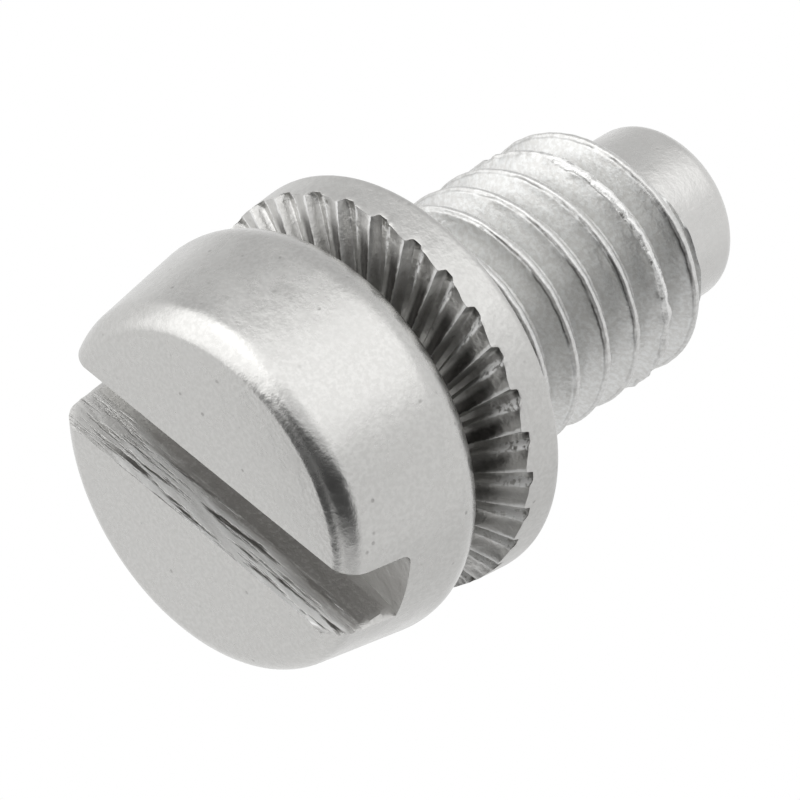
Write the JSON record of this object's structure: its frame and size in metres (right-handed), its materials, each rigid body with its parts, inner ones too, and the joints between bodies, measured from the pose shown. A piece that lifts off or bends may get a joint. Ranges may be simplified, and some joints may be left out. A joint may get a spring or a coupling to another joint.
{
  "type": "slotted cheese-head screw with captive contact washer",
  "caption": "Slotted cheese-head machine screw with a reduced neck, rolled thread, plain pilot point and a captive conical washer with slanted ribs, for clamping a busbar.",
  "frame": {"origin": "middle of the slotted face, on the screw's axis", "axes": "+Z along the screw's axis from the slotted face to the pilot's end; +X and +Y square to it, with the slot turned about -31 degrees from +X"},
  "size_m": [0.0094, 0.0094, 0.015],
  "materials": {
    "screw_steel": "satin plated steel",
    "washer_steel": "satin plated steel"
  },
  "bodies": {
    "screw": {"screw": "screw_steel"},
    "washer": {"washer": "washer_steel"}
  },
  "joints": [
    {"name": "washer_spin", "type": "hinge", "parent": "screw", "child": "washer", "pos_m": [0, 0, 0.0052], "axis": [0, 0, 1], "continuous": true}
  ]
}
